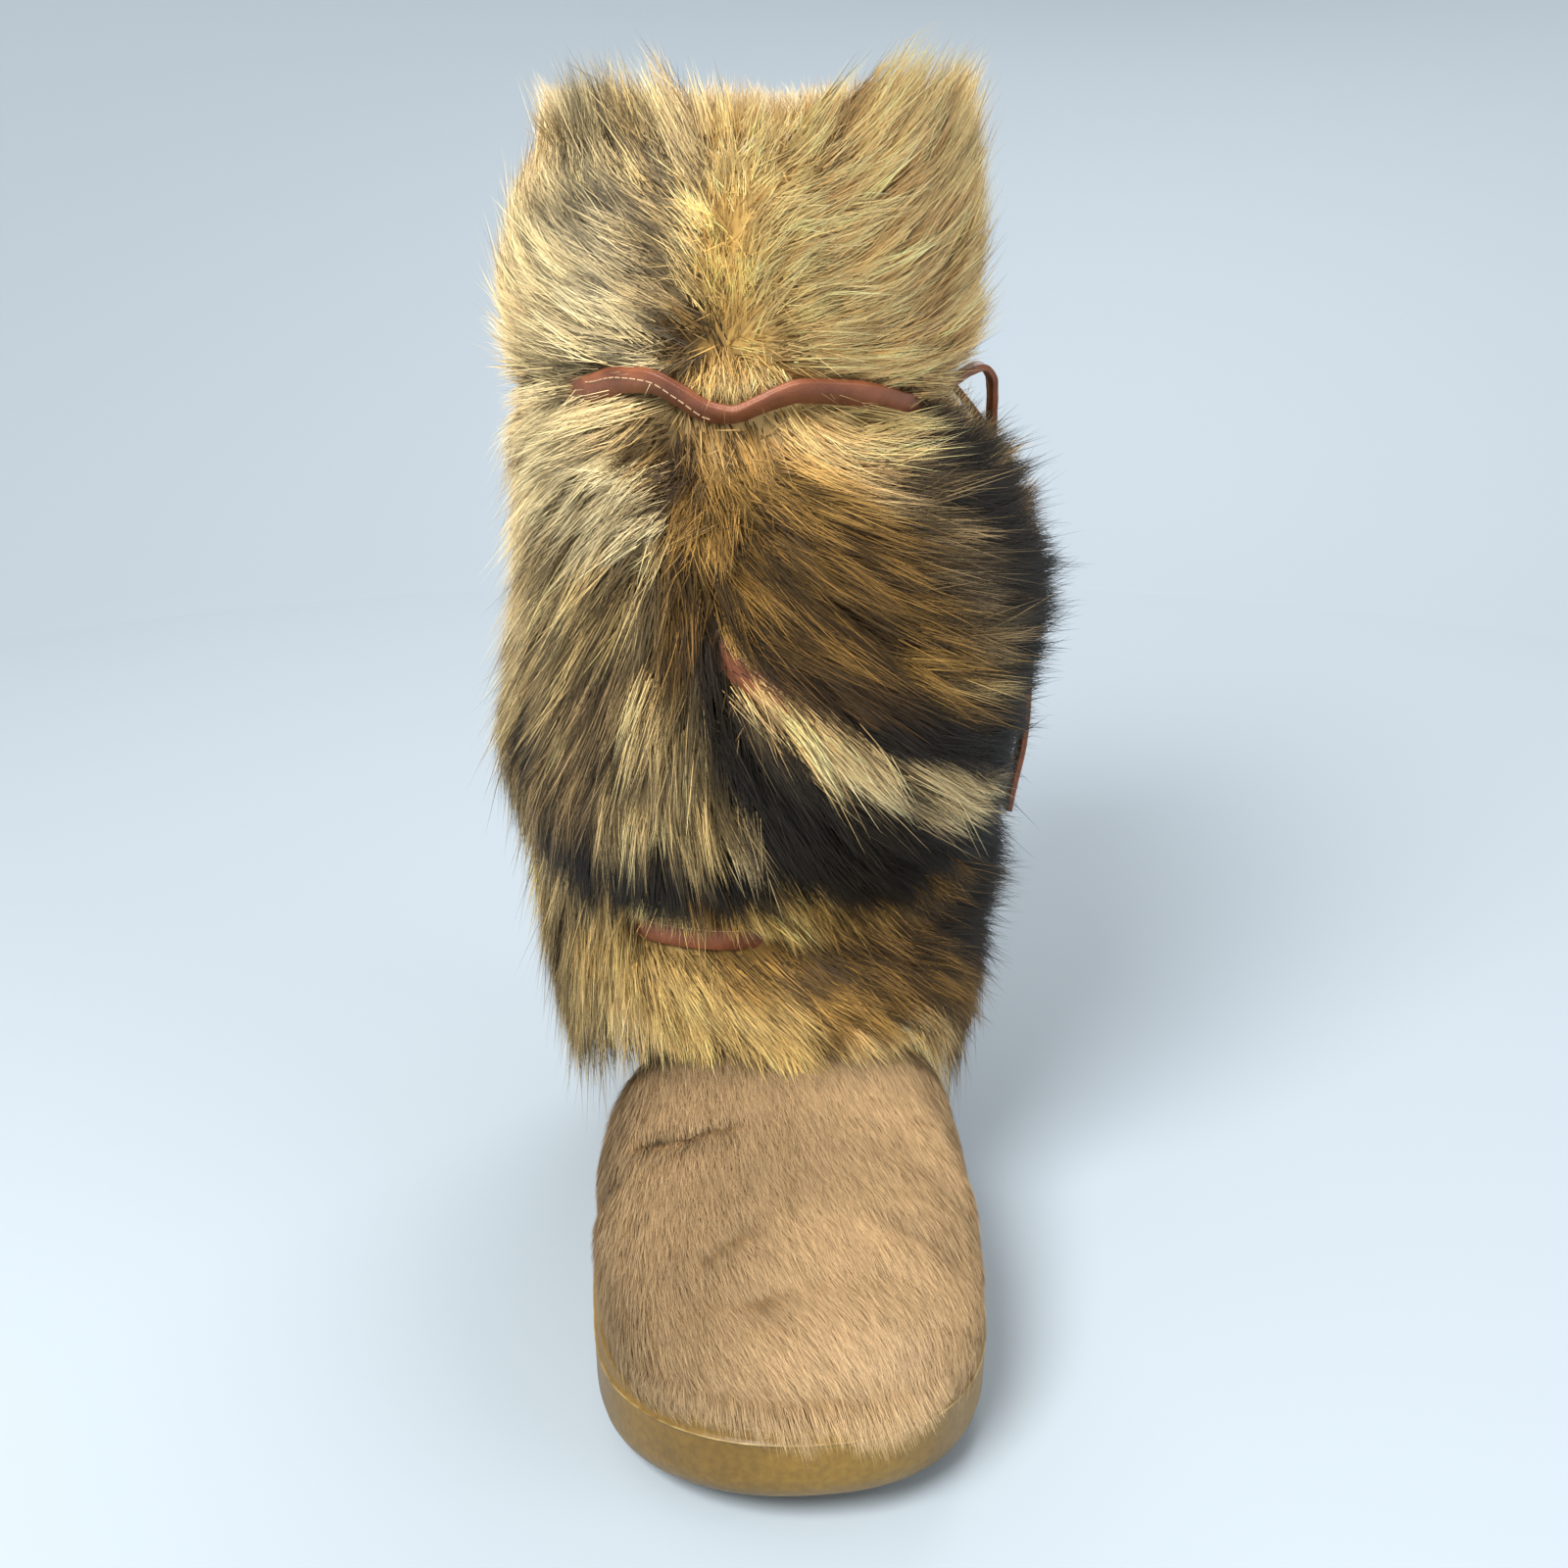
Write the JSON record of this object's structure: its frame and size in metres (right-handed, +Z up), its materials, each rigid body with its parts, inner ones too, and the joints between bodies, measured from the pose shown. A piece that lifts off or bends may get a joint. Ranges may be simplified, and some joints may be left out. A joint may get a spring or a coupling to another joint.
{
  "type": "fur boot",
  "caption": "Calf-high after-ski boot for the left foot: deep fur shaft wound with a flat leather lace, short-haired foot and a gum rubber wedge sole.",
  "frame": {"origin": "on the floor under the middle of the boot's box, measured without the two free lace pieces", "axes": "+Z up, toe towards -Y, outer side of the foot towards +X"},
  "size_m": [0.1663, 0.2888, 0.34],
  "materials": {
    "gum_rubber": "satin honey-coloured gum rubber",
    "felt": "pale wool felt",
    "hair_hide": "short flat tan hair on hide",
    "long_fur": "long cream, gold and dark-tipped fur on hide",
    "lace_leather": "red-brown smooth leather, satin"
  },
  "bodies": {
    "root": {"outsole": "gum_rubber", "insole": "felt", "upper": "hair_hide", "shaft": "long_fur", "lace_wrap": "lace_leather", "lace_loop": "lace_leather", "lace_end": "lace_leather"}
  },
  "joints": []
}
